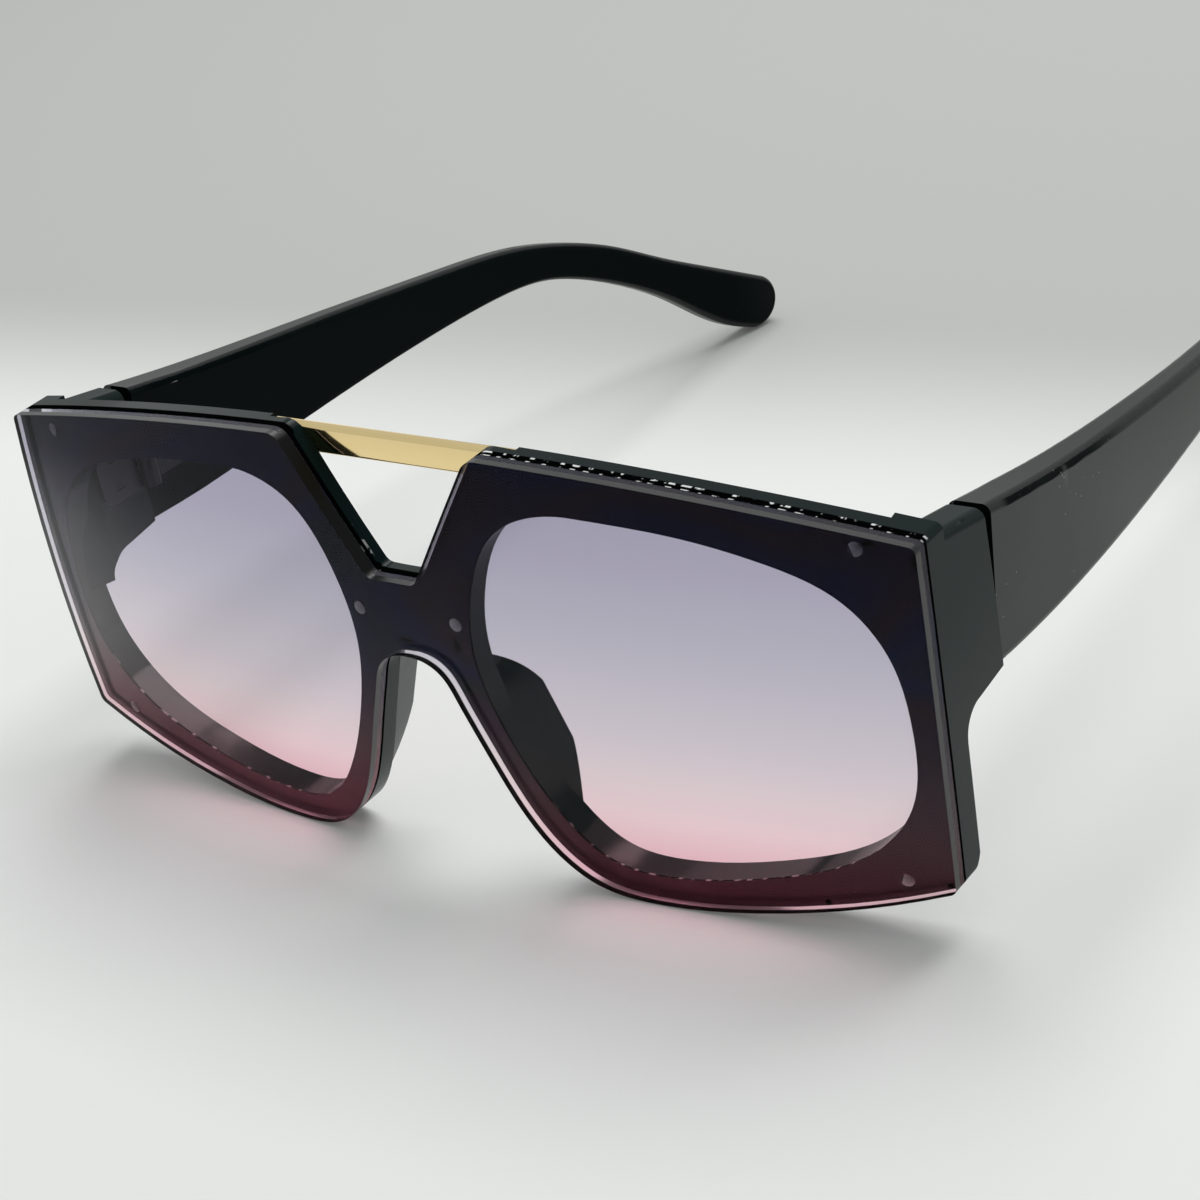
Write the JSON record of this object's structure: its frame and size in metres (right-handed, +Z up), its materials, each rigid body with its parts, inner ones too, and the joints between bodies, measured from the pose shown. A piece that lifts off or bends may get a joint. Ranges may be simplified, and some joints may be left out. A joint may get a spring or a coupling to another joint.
{
  "type": "oversized sunglasses",
  "caption": "Oversized shield sunglasses: tinted lens over a black front with a V notch and gilt brow bar, with hinged folding temples.",
  "frame": {"origin": "under the middle of the glasses, on the surface that the rims and the temple tips stand on", "axes": "+Z up, +Y from the lens to the temple tips, +X to the wearer's left"},
  "size_m": [0.1482, 0.1736, 0.0632],
  "materials": {
    "black_plastic": "polished black moulding",
    "tinted_lens": "clear, tinted from grey violet at the brow to pink at the rims",
    "gilt_bar": "mirror polished",
    "hinge_steel": "dark nickelled steel"
  },
  "bodies": {
    "front": {"front_frame": "black_plastic", "shield_lens": "tinted_lens", "brow_bar": "gilt_bar", "brow_bar_screws": "hinge_steel", "front_hinge_leaf_left": "hinge_steel", "hinge_screw_left": "hinge_steel", "front_leaf_screws_left": "hinge_steel", "front_hinge_leaf_right": "hinge_steel", "hinge_screw_right": "hinge_steel", "front_leaf_screws_right": "hinge_steel"},
    "arm_left": {"temple_left": "black_plastic", "temple_hinge_leaf_left": "hinge_steel", "temple_leaf_screws_left": "hinge_steel"},
    "arm_right": {"temple_right": "black_plastic", "temple_hinge_leaf_right": "hinge_steel", "temple_leaf_screws_right": "hinge_steel"}
  },
  "joints": [
    {"name": "temple_fold_left", "type": "hinge", "parent": "front", "child": "arm_left", "pos_m": [0.0666, -0.06245, 0.04223], "axis": [0, 0, 1], "range_deg": [0, 86]},
    {"name": "temple_fold_right", "type": "hinge", "parent": "front", "child": "arm_right", "pos_m": [-0.0666, -0.06245, 0.04223], "axis": [0, 0, -1], "range_deg": [0, 76]}
  ]
}
